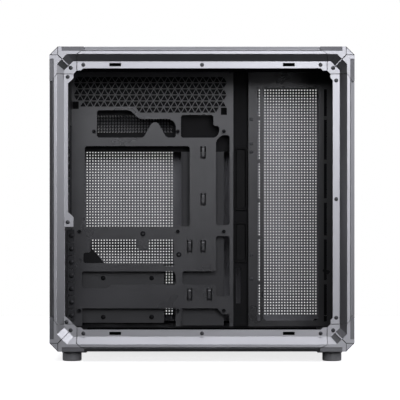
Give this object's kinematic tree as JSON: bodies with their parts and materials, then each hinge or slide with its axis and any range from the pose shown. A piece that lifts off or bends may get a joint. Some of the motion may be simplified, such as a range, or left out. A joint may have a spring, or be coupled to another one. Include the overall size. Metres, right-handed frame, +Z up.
{
  "type": "mid tower pc case",
  "caption": "Two-chamber mid tower computer case with bevelled alloy side frames, a black steel tray with a triangle vent, a perforated right panel and its left panel off.",
  "frame": {"origin": "centre of the footprint, on the floor under the feet", "axes": "+X from the rear of the case to its front, +Y from its left side to its right, +Z up"},
  "size_m": [0.458, 0.285, 0.4735],
  "materials": {
    "rail_alloy": "fine brushed grey anodised aluminium",
    "corner_alloy": "satin cast aluminium",
    "cover_alloy": "dark brushed anodised aluminium",
    "black_steel": "fine black powder coat on sheet steel",
    "black_rubber": "matte black rubber",
    "black_plastic": "matte black moulded plastic",
    "dark_screws": "black zinc plated steel"
  },
  "bodies": {
    "case": {"bottom_front_cross_rail": "rail_alloy", "bottom_rear_cross_rail": "rail_alloy", "cable_channel": "black_steel", "cable_cover": "black_steel", "ceiling_sheet": "black_steel", "control_strip": "black_plastic", "drive_bay_panel": "black_steel", "drive_bracket": "black_steel", "feet": "black_rubber", "floor_filter": "black_steel", "floor_sheet": "black_steel", "frame_screws": "dark_screws", "front_cover": "cover_alloy", "front_wall": "black_steel", "left_bottom_front_corner": "corner_alloy", "left_bottom_rail": "rail_alloy", "left_bottom_rear_corner": "corner_alloy", "left_front_rail": "rail_alloy", "left_rear_rail": "rail_alloy", "left_top_front_corner": "corner_alloy", "left_top_rail": "rail_alloy", "left_top_rear_corner": "corner_alloy", "lower_grommet": "black_rubber", "motherboard_tray": "black_steel", "rear_wall": "black_steel", "right_bottom_front_corner": "corner_alloy", "right_bottom_rail": "rail_alloy", "right_bottom_rear_corner": "corner_alloy", "right_front_rail": "rail_alloy", "right_rear_rail": "rail_alloy", "right_top_front_corner": "corner_alloy", "right_top_rail": "rail_alloy", "right_top_rear_corner": "corner_alloy", "side_fan_bracket": "black_steel", "slot_cover_1": "black_steel", "slot_cover_2": "black_steel", "slot_cover_3": "black_steel", "slot_cover_4": "black_steel", "slot_cover_5": "black_steel", "slot_cover_6": "black_steel", "slot_cover_7": "black_steel", "standoffs": "dark_screws", "supply_shelf": "black_steel", "top_cover": "black_steel", "top_front_cross_rail": "rail_alloy", "top_rear_cross_rail": "rail_alloy", "upper_grommet": "black_rubber"},
    "power_button": {"power_button": "black_plastic"},
    "right_panel": {"right_side_panel": "black_steel", "panel_catches": "black_steel"}
  },
  "joints": [
    {"name": "power_button_press", "type": "slide", "parent": "case", "child": "power_button", "axis": [0, 0, -1], "range_m": [0, 0.0015], "stiffness_N_per_m": 800},
    {"name": "right_panel_pull", "type": "slide", "parent": "case", "child": "right_panel", "axis": [0, 1, 0], "range_m": [0, 0.06]}
  ]
}
